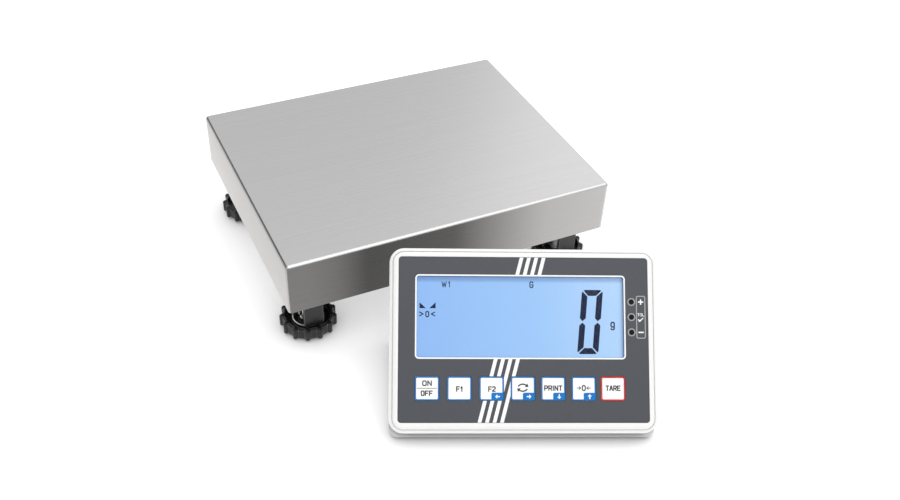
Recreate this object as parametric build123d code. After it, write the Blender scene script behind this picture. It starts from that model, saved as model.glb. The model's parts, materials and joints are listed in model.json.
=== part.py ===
from build123d import *
import math
import os

# Bench scale: a stainless weighing pan on a single load cell, four levelling feet
# and a free-standing desk terminal beside it.
# Frame: millimetres, +X to the right, +Y to the back, +Z up, origin on the floor
# under the centre of the whole set.

# ---------------------------------------------------------------- driving dimensions
PLATFORM_Y = 100.76         # centre of the platform behind the middle of the set
PAN_W, PAN_D, PAN_TOP = 300.0, 240.0, 97.0
PAN_SKIRT, PAN_SHEET, PAN_FOLD = 49.0, 1.5, 3.2

FOOT_X, FOOT_Y = 124.5, 88.0
KNOB_R, KNOB_LOBES, LOBE_R = 24.9, 13, 2.4
KNOB_FACET, KNOB_RIM = 22.8, 3.2      # radius between the lobes, and the rim's thickness
SOLE_T, KNOB_BOTTOM, KNOB_TOP, DISH_FLOOR = 3.0, 2.0, 13.5, 7.0
HUB_R, HUB_TOP, STUD_R, STUD_TOP = 14.0, 9.4, 5.0, 62.0
RUNNING = 0.06              # radial clearance of a running fit

RAIL, WALL = 20.0, 2.0      # square tube and its wall
TUBE_R = 2.5                # outside corner of the tube
BASE_Z, BASE_RAIL_L = 50.0, 212.0
PLATFORM_GLAND_Z = 35.0     # below the skirt, so that the cable runs out under it
BEAM_W, BEAM_T = 70.0, 8.0
BRACKET_W, BRACKET_D, BRACKET_T, BRACKET_DROP = 17.0, 33.0, 3.0, 38.0
SPACER_T, CELL_L, CELL_W, CELL_H = 2.0, 130.0, 30.0, 22.0
CELL_END = 50.0             # from the cell's middle to the middle of each screw pair
SCREW_PITCH = 14.0
BRIDGE_X, BRIDGE_RAIL_L, BRIDGE_RAIL_H = 102.0, 204.0, 18.0
STOP_GAP = 0.7              # overload travel

TERMINAL_AT = (3.0, -237.0, 66.6)   # foil centre from the platform's centre, and height
TERMINAL_YAW, FACE_TILT = -23.3, 44.0
FOIL_W, FOIL_H, FOIL_T, FOIL_R = 196.0, 128.5, 0.8, 2.6
SHELL_W, SHELL_H, SHELL_R = 210.5, 143.8, 11.5
SHELL_DROP = 0.7            # housing centre below the foil centre
RIM, FRONT_DEPTH, SKIN = 0.6, 13.0, 2.5
BEVEL_IN, BEVEL_DOWN = 5.2, 3.4        # sloping border round the front shell
PARTING = 1.0               # groove between the two shells
LIP = 3.6                   # the rear shell stands out below the front one
LIP_R = 7.0                 # its lower corners
REAR_V = 66.0
UNDERSIDE = 2.6
WINDOW_W, WINDOW_H, WINDOW_X, WINDOW_Y = 165.0, 65.6, -2.5, 17.6
KEY_W, KEY_H, KEY_R, KEY_GAP = 18.7, 18.3, 1.6, 0.3
KEY_Y, KEY_TRAVEL = -38.0, 0.5
KEYS = {
    "key_power": -75.5, "key_function_1": -50.5, "key_function_2": -25.5, "key_switch": -1.0,
    "key_print": 22.6, "key_zero": 46.5, "key_tare": 69.5,
}
LAMP_X, LAMP_Y, LAMP_PITCH, LAMP_R = 84.9, 17.8, 11.9, 1.9
BOSS_X, BOSS_Y = 92.0, 58.0
DOOR_X, DOOR_V = (-46.0, 46.0), (0.0, 56.0)
DOOR_SCREW_X, DOOR_SCREW_V = 40.0, 51.0
GLAND_X, SOCKET_X, PORT_X, PORT_Z = -62.0, 20.0, 62.0, 34.0

PLATFORM = Location((0, PLATFORM_Y, 0))
TERMINAL = Location((TERMINAL_AT[0], PLATFORM_Y + TERMINAL_AT[1], 0), (0, 0, TERMINAL_YAW))
TO_FACE = Location((0, 0, TERMINAL_AT[2]), (FACE_TILT, 0, 0))
FACE = TERMINAL * TO_FACE
CORNERS = [(x, y) for x in (-1, 1) for y in (-1, 1)]


# ---------------------------------------------------------------- helpers
def block(x, y, z):
    """A box from three (low, high) pairs."""
    size = [pair[1] - pair[0] for pair in (x, y, z)]
    middle = [(pair[0] + pair[1]) / 2 for pair in (x, y, z)]
    return Pos(*middle) * Box(*size)


def rod(radius, low, high, at=(0, 0)):
    """An upright cylinder between two heights."""
    return Pos(at[0], at[1], (low + high) / 2) * Cylinder(radius, high - low)


def plate(width, height, low, high, radius, at=(0, 0)):
    """A slab with rounded corners between two heights."""
    outline = Pos(at[0], at[1], low) * RectangleRounded(width, height, radius)
    return extrude(outline, high - low)


def save(node, pieces, place):
    """Write the node's pieces, moved to their place in the set."""
    pieces = pieces if isinstance(pieces, list) else [pieces]
    solids = [place * solid for piece in pieces for solid in piece.solids()]
    export_step(solids[0] if len(solids) == 1 else Compound(children=solids), f"parts/{node}.step")


# ---------------------------------------------------------------- weighing pan
def pan():
    """Folded sheet with welded corners: a flat top and a skirt on all four sides."""
    low = PAN_TOP - PAN_SKIRT
    faces = []
    for inset in (0, PAN_SHEET):
        half_w, half_d = PAN_W / 2 - inset, PAN_D / 2 - inset
        form = block((-half_w, half_w), (-half_d, half_d), (low - inset, PAN_TOP - inset))
        bends = list(form.edges().filter_by(Axis.Z)) + list(form.faces().sort_by(Axis.Z)[-1].edges())
        faces.append(fillet(bends, PAN_FOLD - inset))
    return faces[0] - faces[1]


# ---------------------------------------------------------------- base frame
def bar(x, y_from, y_to, low, width, height, radius):
    """Bar along Y with rounded corners, standing on a height."""
    section = Pos(x, y_from, low + height / 2) * Rot(-90, 0, 0) * RectangleRounded(width, height, radius)
    return extrude(section, y_to - y_from)


def square_tube(x, length, low, height):
    """Cold-formed tube along Y, centred on the platform."""
    outside = bar(x, -length / 2, length / 2, low, RAIL, height, TUBE_R)
    bore = bar(x, -length, length, low + WALL, RAIL - 2 * WALL, height - 2 * WALL, TUBE_R - WALL)
    return outside - bore


def base_rail(side):
    """Square tube under each side of the pan, drilled for its two feet."""
    x = side * FOOT_X
    tube = square_tube(x, BASE_RAIL_L, BASE_Z, RAIL)
    for y in (-FOOT_Y, FOOT_Y):
        tube -= rod(STUD_R + 1, BASE_Z - 1, BASE_Z + WALL + 1, (x, y))
    return tube


def rail_caps(x_centre, length, low, height):
    """Moulded plugs that close the four tube ends."""
    caps = []
    inside = RAIL / 2 - WALL - 0.4
    for sx, sy in CORNERS:
        x, end = sx * x_centre, sy * length / 2
        near, far = sorted((end, end + sy * 3))
        head = bar(x, near, far, low, RAIL, height, TUBE_R)
        head = chamfer(head.faces().sort_by(Axis.Y)[-1 if sy > 0 else 0].edges(), 0.8)
        tongue_z = (low + WALL + 0.4, low + height - WALL - 0.4)
        tongue = block((x - inside, x + inside), sorted((end - sy * 6, end)), tongue_z)
        caps.append(head + tongue)
    return caps


def base_beam():
    """Cross member that ties the two base rails and carries the load cell."""
    reach = FOOT_X - RAIL / 2
    beam = block((-reach, reach), (-BEAM_W / 2, BEAM_W / 2), (BASE_Z, BASE_Z + BEAM_T))
    for dx in (-SCREW_PITCH / 2, SCREW_PITCH / 2):
        beam -= rod(3.0, BASE_Z - 1, BASE_Z + BEAM_T + 1, (-CELL_END + dx, 0))
        beam -= rod(5.2, BASE_Z - 1, BASE_Z + 5.2, (-CELL_END + dx, 0))
    for sx, sy in CORNERS:
        beam -= rod(3.0, BASE_Z - 1, BASE_Z + BEAM_T + 1, (sx * 82, sy * 26))
    return beam


def foot_brackets():
    """Folded U brackets welded under the rails; each foot's stud passes through the web."""
    web_top = BASE_Z
    web_low, low = web_top - BRACKET_T, web_top - BRACKET_DROP
    brackets = []
    for sx, sy in CORNERS:
        x, y = sx * FOOT_X, sy * FOOT_Y
        wide = (x - BRACKET_W / 2, x + BRACKET_W / 2)
        bracket = block(wide, (y - BRACKET_D / 2, y + BRACKET_D / 2), (low, web_top))
        inside = BRACKET_D / 2 - BRACKET_T
        bracket -= block((x - 30, x + 30), (y - inside, y + inside), (low - 1, web_low))
        lower = bracket.edges().filter_by(Axis.Y).group_by(Axis.Z)[0]
        bracket = fillet(lower, 2.0)
        folds = bracket.edges().filter_by(Axis.X).group_by(Axis.Z)[-1]
        bracket = fillet(folds, 2.5)
        brackets.append(bracket - rod(STUD_R + 1, web_low - 1, web_top + 1, (x, y)))
    return brackets


def foot_nuts():
    """Weld nuts inside the rails, on which the scale's weight hangs on the studs."""
    nuts = []
    for sx, sy in CORNERS:
        at = (sx * FOOT_X, sy * FOOT_Y)
        low = BASE_Z + WALL
        hexagon = Pos(at[0], at[1], low) * RegularPolygon(7.8, 6, major_radius=False, rotation=30)
        nuts.append(extrude(hexagon, 8) - rod(STUD_R + RUNNING, low - 1, low + 9, at))
    return nuts


def spacer(end, low):
    """Small plate that lifts the load cell clear of the beam so that it can bend."""
    x = end * CELL_END
    shim = block((x - 15, x + 15), (-CELL_W / 2, CELL_W / 2), (low, low + SPACER_T))
    for dx in (-SCREW_PITCH / 2, SCREW_PITCH / 2):
        shim -= rod(3.0, low - 1, low + SPACER_T + 1, (x + dx, 0))
    return shim


def load_cell():
    """Aluminium single-point cell: a bar with a double bending hole through its middle."""
    low = BASE_Z + BEAM_T + SPACER_T
    middle = low + CELL_H / 2
    bar = block((-CELL_L / 2, CELL_L / 2), (-CELL_W / 2, CELL_W / 2), (low, low + CELL_H))
    bar = chamfer(bar.edges().filter_by(Axis.X), 1.0)
    for x in (-16, 16):
        bar -= Pos(x, 0, middle) * Rot(90, 0, 0) * Cylinder(8.5, CELL_W + 2)
    bar -= block((-16, 16), (-CELL_W, CELL_W), (middle - 3, middle + 3))
    for dx in (-SCREW_PITCH / 2, SCREW_PITCH / 2):
        bar -= rod(3.0, low - 1, low + 14, (-CELL_END + dx, 0))
        bar -= rod(3.4, low + 8, low + CELL_H + 1, (CELL_END + dx, 0))
    return bar


def cap_screw(at, seat, length, direction):
    """M6 socket screw; direction is +1 with its point up and -1 with its point down."""
    head, shank = sorted((seat, seat - direction * 5)), sorted((seat, seat + direction * length))
    screw = rod(4.9, *head, at) + rod(3.0, *shank, at)
    key = Pos(at[0], at[1], min(head)) * RegularPolygon(2.5, 6, major_radius=False)
    depth = 2.6
    socket = extrude(key, depth) if direction > 0 else Pos(0, 0, 5 - depth) * extrude(key, depth)
    return screw - socket


def lower_screws():
    seat = BASE_Z + 5.2
    return [cap_screw((-CELL_END + dx, 0), seat, 18.6, 1) for dx in (-SCREW_PITCH / 2, SCREW_PITCH / 2)]


def stop_screws():
    """Overload stops: they catch the bridge just before the cell bends too far."""
    top = BASE_Z + BEAM_T + CELL_H + 2 * SPACER_T - STOP_GAP
    return [fillet(rod(3.0, BASE_Z + 1, top, (sx * 82, sy * 26)).edges().group_by(Axis.Z)[-1], 0.6)
            for sx, sy in CORNERS]


def stop_nuts():
    low = BASE_Z + BEAM_T
    nuts = []
    for sx, sy in CORNERS:
        hexagon = Pos(sx * 82, sy * 26, low) * RegularPolygon(5.0, 6, major_radius=False)
        nuts.append(extrude(hexagon, 5) - rod(3.0, low - 1, low + 6, (sx * 82, sy * 26)))
    return nuts


def level_cup():
    """Round bubble level on the right rail, read with the pan lifted off."""
    low = BASE_Z + RAIL
    cup = rod(9, low, low + 8, (FOOT_X, 0)) - rod(7.2, low + 2, low + 9, (FOOT_X, 0))
    return chamfer(cup.edges().group_by(Axis.Z)[-1], 0.4)


def level_vial():
    low = BASE_Z + RAIL + 2
    vial = rod(7.2, low, low + 5.5, (FOOT_X, 0))
    return fillet(vial.edges().group_by(Axis.Z)[-1], 0.8)


def gland_bracket():
    """Plate hung from the back of the beam, which holds the cell's cable gland."""
    y = BEAM_W / 2
    hanger = block((-16, 16), (y, y + 3), (PLATFORM_GLAND_Z - 13, BASE_Z + BEAM_T))
    hanger = fillet(hanger.edges().filter_by(Axis.Y).group_by(Axis.Z)[0], 8)
    return hanger - Pos(0, y + 1.5, PLATFORM_GLAND_Z) * Rot(90, 0, 0) * Cylinder(6.0, 6)


def gland(bore):
    """Cable gland with its mouth towards +Z: body, lock nut and dome nut round one bore."""
    hexagon = RegularPolygon(8.0, 6, major_radius=False)
    lock = Pos(0, 0, -8) * extrude(hexagon, 4)
    neck = Pos(0, 0, -1) * Cylinder(6.0, 14)
    collar = extrude(hexagon, 5)
    dome = Pos(0, 0, 5) * Cylinder(7.2, 12, align=(Align.CENTER, Align.CENTER, Align.MIN))
    dome = fillet(dome.edges().group_by(Axis.Z)[-1], 2.5)
    return lock + neck + collar + dome - Cylinder(bore, 60)


def platform_gland():
    return Pos(0, BEAM_W / 2 + 3, PLATFORM_GLAND_Z) * Rot(-90, 0, 0) * gland(2.6)


# ---------------------------------------------------------------- bridge under the pan
BRIDGE_TOP = BASE_Z + 2 * BEAM_T + 2 * SPACER_T + CELL_H


def bridge_beam():
    """Cross member above the cell, counterbored for the cell's upper screws."""
    reach, low = BRIDGE_X - RAIL / 2, BRIDGE_TOP - BEAM_T
    beam = block((-reach, reach), (-BEAM_W / 2, BEAM_W / 2), (low, BRIDGE_TOP))
    for dx in (-SCREW_PITCH / 2, SCREW_PITCH / 2):
        beam -= rod(3.0, low - 1, BRIDGE_TOP + 1, (CELL_END + dx, 0))
        beam -= rod(5.2, BRIDGE_TOP - 5.2, BRIDGE_TOP + 1, (CELL_END + dx, 0))
    return beam


def bridge_rail(side):
    return square_tube(side * BRIDGE_X, BRIDGE_RAIL_L, BRIDGE_TOP - BRIDGE_RAIL_H, BRIDGE_RAIL_H)


def upper_screws():
    seat = BRIDGE_TOP - 5.2
    return [cap_screw((CELL_END + dx, 0), seat, 16, -1) for dx in (-SCREW_PITCH / 2, SCREW_PITCH / 2)]


def pan_pads():
    """Rubber buttons on the bridge rails; the loose pan rests on them."""
    pads = []
    for sx, sy in CORNERS:
        pad = rod(8, BRIDGE_TOP, PAN_TOP - PAN_SHEET, (sx * BRIDGE_X, sy * 86))
        pads.append(chamfer(pad.edges().group_by(Axis.Z)[-1], 0.8))
    return pads


# ---------------------------------------------------------------- levelling foot, on its own axis
def foot_sole():
    """Rubber sole in the knob's underside; it stays put while the knob turns."""
    sole = rod(15.0, 0, SOLE_T)
    sole = chamfer(sole.edges().group_by(Axis.Z)[0], 0.6)
    return sole + rod(3.0, SOLE_T, SOLE_T + 2.5)


def foot_knob():
    """Moulded hand knob: lobed rim, recessed dish, and a hub that grips the stud."""
    outline = Circle(KNOB_FACET)
    for turn in range(KNOB_LOBES):
        outline += PolarLocations(KNOB_R - LOBE_R, 1, 360 * turn / KNOB_LOBES).locations[0] * Circle(LOBE_R)
    outline = fillet(outline.vertices(), 0.7)
    rim = extrude(Pos(0, 0, KNOB_BOTTOM) * outline, KNOB_TOP - KNOB_BOTTOM)
    rim = chamfer(rim.faces().sort_by(Axis.Z)[-1].edges(), 0.8)
    rim -= rod(KNOB_FACET - KNOB_RIM, DISH_FLOOR, KNOB_TOP + 1)
    rim -= rod(15.0 + 0.4, KNOB_BOTTOM - 1, SOLE_T + 0.4)
    hub = rod(HUB_R, DISH_FLOOR - 1, HUB_TOP) - rod(HUB_R - 1.6, DISH_FLOOR, HUB_TOP + 1)
    knob = rim + hub
    knob -= rod(STUD_R, DISH_FLOOR - 0.5, KNOB_TOP + 1)
    return knob - rod(3.0 + RUNNING, 0, DISH_FLOOR)


def foot_stud():
    """M10 stud moulded into the knob, a jam nut on it, and the bright ring on the hub."""
    stud = rod(STUD_R, DISH_FLOOR - 0.5, STUD_TOP)
    stud = chamfer(stud.faces().sort_by(Axis.Z)[-1].edges(), 1.0)
    nut = extrude(Pos(0, 0, DISH_FLOOR) * RegularPolygon(7.8, 6, major_radius=False), 6)
    nut = nut & rod(9.4, DISH_FLOOR, DISH_FLOOR + 6)
    ring = rod(HUB_R, HUB_TOP, HUB_TOP + 1) - rod(HUB_R - 1.6, HUB_TOP - 1, HUB_TOP + 2)
    return [stud + nut, chamfer(ring.edges().group_by(Axis.Z)[-1], 0.4)]


# ---------------------------------------------------------------- terminal housing; face pieces are drawn flat, with +Z out of the face
def front_outline(shrink, n):
    """Rounded outline of the front shell, drawn in by an amount, at a depth."""
    outline = RectangleRounded(SHELL_W - 2 * shrink, SHELL_H - 2 * shrink, max(SHELL_R - shrink, 1))
    return Pos(0, -SHELL_DROP, n) * outline


def front_openings():
    """Everything cut through the front plate: display, keys and lamps."""
    cuts = plate(WINDOW_W - 5, WINDOW_H - 5, -9, 1, 1.5, (WINDOW_X, WINDOW_Y))
    for x in KEYS.values():
        cuts += plate(KEY_W + 2 * KEY_GAP, KEY_H + 2 * KEY_GAP, -1.9, 1, KEY_R + KEY_GAP, (x, KEY_Y))
        cuts += rod(4.0, -9, 1, (x, KEY_Y))
    for step in (-1, 0, 1):
        cuts += rod(LAMP_R, -9, 1, (LAMP_X, LAMP_Y + step * LAMP_PITCH))
    return cuts


def front_shell():
    """White front moulding: chamfered rim, recess for the foil and a skirt to the parting line."""
    shoulder = RIM - BEVEL_DOWN
    body = extrude(front_outline(0, -FRONT_DEPTH), FRONT_DEPTH + shoulder)
    body += loft([front_outline(0, shoulder), front_outline(BEVEL_IN, RIM)])
    body -= extrude(front_outline(SKIN, -FRONT_DEPTH - 1), FRONT_DEPTH + 1 - 3.0)
    body -= plate(FOIL_W + 0.2, FOIL_H + 0.2, -FOIL_T, 5, FOIL_R)
    body -= front_openings()
    for sx, sy in CORNERS:
        at = (sx * BOSS_X, sy * BOSS_Y - SHELL_DROP)
        body += rod(3.4, -FRONT_DEPTH - PARTING, -2.5, at)
        body -= rod(1.5, -FRONT_DEPTH - PARTING - 1, -5, at)
    return body


def rear_body(outline, inset):
    """Prism behind the face, cut off by the upright back and the flat underside."""
    prism = TO_FACE * extrude(outline, -170)
    room = block((-200, 200), (-200, REAR_V - inset), (UNDERSIDE + inset, 300))
    return prism & room


def rear_outline():
    """Rounded outline of the rear shell at the parting line, with tighter lower corners."""
    grown = SHELL_H + LIP - 0.6
    outline = Pos(0, -SHELL_DROP - (LIP + 0.6) / 2) * Rectangle(SHELL_W - 1.2, grown)
    outline = fillet(outline.vertices().group_by(Axis.Y)[0], LIP_R)
    return fillet(outline.vertices().group_by(Axis.Y)[-1], SHELL_R)


def rear_shell():
    """Back moulding: a wedge with a flat underside, screw tubes and the connector openings."""
    seat = -FRONT_DEPTH - PARTING
    outer = rear_body(Pos(0, 0, seat) * rear_outline(), 0)
    outer = fillet(outer.edges().filter_by(Axis.Z), 7.0)
    shell = outer - rear_body(front_outline(SKIN + 1.2, seat + 1), SKIN)
    tongue = extrude(front_outline(SKIN + 0.15, seat - 1.5), 4) - extrude(front_outline(SKIN + 1.2, seat - 3), 8)
    shell += TO_FACE * tongue
    for sx, sy in CORNERS:
        at = (sx * BOSS_X, sy * BOSS_Y - SHELL_DROP)
        shell += (TO_FACE * rod(5.2, seat - 40, seat, at)) & outer
        shell -= TO_FACE * rod(3.7, seat - 90, seat - 4, at)
        shell -= TO_FACE * rod(1.9, seat - 60, seat + 1, at)
    shell -= block(DOOR_X, DOOR_V, (0, UNDERSIDE + SKIN))
    for x in (-DOOR_SCREW_X, DOOR_SCREW_X):
        boss = block((x - 4.5, x + 4.5), (DOOR_SCREW_V - 4.5, REAR_V - 1), (UNDERSIDE + SKIN, UNDERSIDE + SKIN + 5))
        shell += boss - rod(1.5, 0, 30, (x, DOOR_SCREW_V))
    for x, radius in ((GLAND_X, 6.0), (SOCKET_X, 5.6)):
        shell -= Pos(x, REAR_V, PORT_Z) * Rot(90, 0, 0) * Cylinder(radius, 12)
    port = block((PORT_X - 9.8, PORT_X + 9.8), (REAR_V - 6, REAR_V + 6), (PORT_Z - 5.3, PORT_Z + 5.3))
    return shell - fillet(port.edges().filter_by(Axis.Y), 2.0)


def keypad_foil():
    """Printed front overlay with its display window and key openings."""
    foil = plate(FOIL_W, FOIL_H, -FOIL_T, 0, FOIL_R - 0.1)
    foil -= plate(WINDOW_W, WINDOW_H, -2, 1, 3.0, (WINDOW_X, WINDOW_Y))
    for x in KEYS.values():
        foil -= plate(KEY_W + 2 * KEY_GAP, KEY_H + 2 * KEY_GAP, -2, 1, KEY_R + KEY_GAP, (x, KEY_Y))
    for step in (-1, 0, 1):
        foil -= rod(LAMP_R, -2, 1, (LAMP_X, LAMP_Y + step * LAMP_PITCH))
    return foil


def display_window():
    return plate(WINDOW_W, WINDOW_H, -FOIL_T, -0.1, 3.0, (WINDOW_X, WINDOW_Y))


def key(x):
    """Square key cap with the plunger that reaches its dome."""
    cap = plate(KEY_W, KEY_H, -1.0, 0.15, KEY_R, (x, KEY_Y))
    cap = chamfer(cap.faces().sort_by(Axis.Z)[-1].edges(), 0.12)
    return cap + rod(3.0, -3.4, -1.0, (x, KEY_Y))


def status_lenses():
    """Three lamp lenses beside the display."""
    lenses = []
    for step in (-1, 0, 1):
        at = (LAMP_X, LAMP_Y + step * LAMP_PITCH)
        lens = rod(LAMP_R, -5.0, 0.15, at) + rod(LAMP_R + 0.8, -5.0, -3.0, at)
        lenses.append(fillet(lens.edges().group_by(Axis.Z)[-1], 0.3))
    return lenses


def lcd_glass():
    return plate(WINDOW_W + 4, WINDOW_H + 6, -5.4, -3.0, 1.0, (WINDOW_X, WINDOW_Y))


def lcd_backlight():
    """Light box behind the glass with its reflector frame."""
    box = plate(WINDOW_W + 4, WINDOW_H + 6, -10.4, -5.4, 1.0, (WINDOW_X, WINDOW_Y))
    return box - plate(WINDOW_W - 8, WINDOW_H - 8, -11, -9.4, 1.0, (WINDOW_X, WINDOW_Y))


def main_board():
    """Circuit board behind the display with its larger components."""
    board = plate(168, 104, -12.0, -10.4, 2.0, (WINDOW_X, 4))
    parts = [board, block((-70, -40), (-30, -12), (-15, -12)), block((-20, 6), (-34, -8), (-14, -12))]
    parts += [block((30, 44), (-40, -22), (-22, -12)), block((60, 76), (10, 40), (-18, -12))]
    whole = parts[0]
    for part in parts[1:]:
        whole += part
    return whole


def key_board():
    return plate(170, 22, -6.2, -4.6, 1.5, (-3, KEY_Y))


def key_domes():
    """Snap discs, one under each key."""
    domes = []
    for x in KEYS.values():
        dome = rod(5.0, -4.6, -4.25, (x, KEY_Y))
        domes.append(fillet(dome.edges().group_by(Axis.Z)[-1], 0.3))
    return domes


def battery_pack():
    """Rechargeable pack of five cells in a sleeve, standing on the battery door."""
    low = UNDERSIDE + SKIN + 0.6
    pack = []
    for cell in range(5):
        v = 9 + cell * 8.6
        pack.append(Pos(0, v, low + 7.2) * Rot(0, 90, 0) * Cylinder(7.2, 68))
    whole = pack[0]
    for cell in pack[1:]:
        whole += cell
    return whole


def battery_door():
    door = block((DOOR_X[0] + 0.2, DOOR_X[1] - 0.2), (DOOR_V[0] + 0.2, DOOR_V[1] - 0.2), (UNDERSIDE, UNDERSIDE + SKIN))
    door = fillet(door.edges().filter_by(Axis.Z), 1.5)
    for x in (-DOOR_SCREW_X, DOOR_SCREW_X):
        door -= rod(1.5, 0, 20, (x, DOOR_SCREW_V))
        door -= rod(2.8, 0, UNDERSIDE + 1.6, (x, DOOR_SCREW_V))
    return door


def door_screws():
    screws = []
    low = UNDERSIDE + 0.2
    for x in (-DOOR_SCREW_X, DOOR_SCREW_X):
        at = (x, DOOR_SCREW_V)
        screw = rod(2.7, low, low + 1.4, at) + rod(1.5, low, low + 6, at)
        screws.append(screw - block((x - 2, x + 2), (at[1] - 0.4, at[1] + 0.4), (low - 1, low + 0.7)))
    return screws


def housing_screws():
    """Four screws up the tubes of the rear shell into the bosses of the front one."""
    screws = []
    seat = -FRONT_DEPTH - PARTING
    for sx, sy in CORNERS:
        at = (sx * BOSS_X, sy * BOSS_Y - SHELL_DROP)
        screw = rod(3.0, seat - 6.4, seat - 4, at) + rod(1.5, seat - 4, seat + 7, at)
        screw -= rod(1.1, seat - 7, seat - 5, at)
        screws.append(screw)
    return screws


def terminal_feet():
    """Rubber pads under the terminal."""
    feet = []
    for sx, v in ((-1, -32), (1, -32), (-1, 56), (1, 56)):
        foot = rod(5.5, 0, UNDERSIDE, (sx * 88, v))
        feet.append(chamfer(foot.edges().group_by(Axis.Z)[0], 0.5))
    return feet


def terminal_gland():
    return Pos(GLAND_X, REAR_V, PORT_Z) * Rot(-90, 0, 0) * gland(2.6)


def power_socket():
    """Round low-voltage socket for the mains adapter."""
    body = Pos(0, 0, -12) * Cylinder(5.6, 12, align=(Align.CENTER, Align.CENTER, Align.MIN))
    flange = Cylinder(7.5, 1.5, align=(Align.CENTER, Align.CENTER, Align.MIN))
    mouth = Pos(0, 0, -9) * Cylinder(3.2, 12, align=(Align.CENTER, Align.CENTER, Align.MIN))
    return Pos(SOCKET_X, REAR_V, PORT_Z) * Rot(-90, 0, 0) * (body + flange - mouth)


def data_port():
    """Nine-way data connector with its two jack posts."""
    flange = block((PORT_X - 15.5, PORT_X + 15.5), (REAR_V, REAR_V + 1), (PORT_Z - 6.5, PORT_Z + 6.5))
    shroud = block((PORT_X - 8.6, PORT_X + 8.6), (REAR_V - 5, REAR_V + 6), (PORT_Z - 4.2, PORT_Z + 4.2))
    port = flange + fillet(shroud.edges().filter_by(Axis.Y), 2.0)
    for x in (-12.5, 12.5):
        post = Pos(PORT_X + x, REAR_V + 3.5, PORT_Z) * Rot(90, 0, 0) * RegularPolygon(2.5, 6, major_radius=False)
        port += extrude(post, 3)
    for row, count in ((1.4, 5), (-1.4, 4)):
        for n in range(count):
            x = PORT_X + (n - (count - 1) / 2) * 2.8
            port -= Pos(x, REAR_V + 6, PORT_Z + row) * Rot(90, 0, 0) * Cylinder(0.55, 8)
    return port


# ---------------------------------------------------------------- the whole set
def main():
    os.makedirs("parts", exist_ok=True)
    base_cell_z = BASE_Z + BEAM_T
    platform = {
        "pan": pan(),
        "base_rail_left": base_rail(-1), "base_rail_right": base_rail(1),
        "base_rail_caps": rail_caps(FOOT_X, BASE_RAIL_L, BASE_Z, RAIL),
        "base_beam": base_beam(), "foot_brackets": foot_brackets(), "foot_nuts": foot_nuts(),
        "lower_spacer": spacer(-1, base_cell_z),
        "load_cell": load_cell(), "load_cell_lower_screws": lower_screws(),
        "stop_screws": stop_screws(), "stop_nuts": stop_nuts(),
        "level_cup": level_cup(), "level_vial": level_vial(),
        "gland_bracket": gland_bracket(), "platform_gland": platform_gland(),
        "upper_spacer": spacer(1, base_cell_z + SPACER_T + CELL_H),
        "bridge_beam": bridge_beam(),
        "bridge_rail_left": bridge_rail(-1), "bridge_rail_right": bridge_rail(1),
        "bridge_rail_caps": rail_caps(BRIDGE_X, BRIDGE_RAIL_L, BRIDGE_TOP - BRIDGE_RAIL_H, BRIDGE_RAIL_H),
        "load_cell_upper_screws": upper_screws(), "pan_pads": pan_pads(),
    }
    for node, pieces in platform.items():
        save(node, pieces, PLATFORM)
    for sx, sy in CORNERS:
        corner = ("front" if sy < 0 else "rear") + ("_left" if sx < 0 else "_right")
        place = PLATFORM * Location((sx * FOOT_X, sy * FOOT_Y, 0))
        save(f"foot_sole_{corner}", foot_sole(), place)
        save(f"foot_knob_{corner}", foot_knob(), place)
        save(f"foot_stud_{corner}", foot_stud(), place)
    face_pieces = {
        "front_shell": front_shell(), "keypad_foil": keypad_foil(), "display_window": display_window(),
        "status_lenses": status_lenses(), "lcd_glass": lcd_glass(), "lcd_backlight": lcd_backlight(),
        "main_board": main_board(), "key_board": key_board(), "key_domes": key_domes(),
        "housing_screws": housing_screws(),
    }
    for node, x in KEYS.items():
        face_pieces[node] = key(x)
    for node, pieces in face_pieces.items():
        save(node, pieces, FACE)
    upright_pieces = {
        "rear_shell": rear_shell(), "battery_pack": battery_pack(), "battery_door": battery_door(),
        "battery_door_screws": door_screws(), "terminal_feet": terminal_feet(),
        "terminal_gland": terminal_gland(), "power_socket": power_socket(), "data_port": data_port(),
    }
    for node, pieces in upright_pieces.items():
        save(node, pieces, TERMINAL)


main()
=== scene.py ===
# %% [markdown]
# # A bench scale, built on its frame
#
# The object is a bench scale: a folded stainless pan on four screw feet, and a sloping desk
# terminal that stands in front of it. The working parts are already there as a fixed frame of
# solid parts, each riding on the body that it moves with. This lesson gives them their finishes
# and adds the pieces that a plain solid can't show: the lobed hand knobs, real screw threads,
# the soft-edged housing, the printed keypad film and the lit display.

# %% Open the frame
import json
import math

import bmesh
import bpy
from mathutils import Matrix, Vector


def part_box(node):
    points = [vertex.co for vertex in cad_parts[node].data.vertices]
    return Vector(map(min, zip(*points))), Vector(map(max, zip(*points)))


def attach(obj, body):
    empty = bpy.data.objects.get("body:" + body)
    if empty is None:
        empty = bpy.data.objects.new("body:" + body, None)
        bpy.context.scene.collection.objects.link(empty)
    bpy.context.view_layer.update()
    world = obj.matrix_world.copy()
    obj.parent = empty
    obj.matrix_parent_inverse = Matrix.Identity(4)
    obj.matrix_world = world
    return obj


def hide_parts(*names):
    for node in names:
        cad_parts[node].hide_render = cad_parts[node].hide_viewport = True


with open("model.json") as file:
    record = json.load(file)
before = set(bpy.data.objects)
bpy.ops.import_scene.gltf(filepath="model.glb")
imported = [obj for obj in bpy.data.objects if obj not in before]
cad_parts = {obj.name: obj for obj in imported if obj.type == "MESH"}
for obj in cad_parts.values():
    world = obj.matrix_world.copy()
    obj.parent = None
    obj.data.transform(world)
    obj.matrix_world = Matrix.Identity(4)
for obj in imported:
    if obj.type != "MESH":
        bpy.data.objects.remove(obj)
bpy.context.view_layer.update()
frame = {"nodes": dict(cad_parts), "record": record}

MM = 0.001
nodes = frame["nodes"]

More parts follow.
